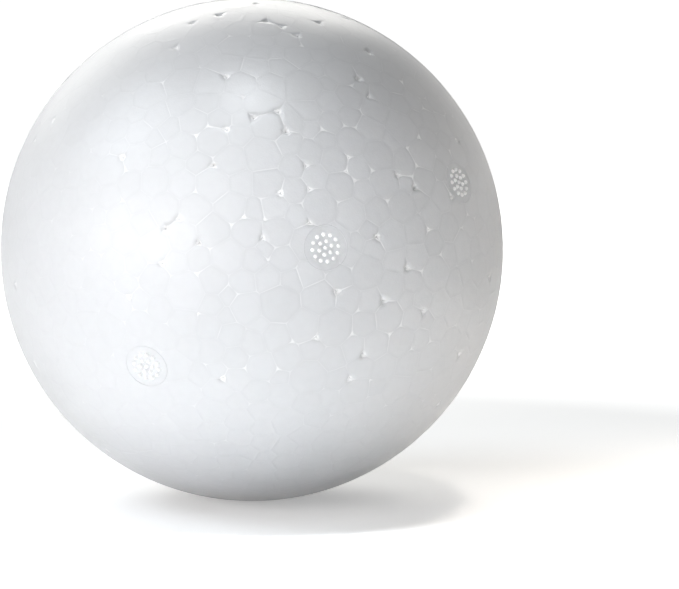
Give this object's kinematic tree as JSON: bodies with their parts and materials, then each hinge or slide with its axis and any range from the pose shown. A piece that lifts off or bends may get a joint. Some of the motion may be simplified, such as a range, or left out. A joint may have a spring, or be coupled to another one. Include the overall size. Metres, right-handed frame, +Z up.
{
  "type": "polystyrene ball",
  "caption": "Round ball of white expanded polystyrene foam, with its fused beads, open voids, steam vent marks and fine parting line on the skin.",
  "frame": {"origin": "centre of the ball", "axes": "+Z up, +Y away from the viewer of the reference picture; the mould's halves met in the XZ plane and drew off along Y"},
  "size_m": [0.1504, 0.1499, 0.1503],
  "materials": {
    "foam": "satin skin of fused foam beads"
  },
  "bodies": {
    "root": {"ball": "foam"}
  },
  "joints": []
}
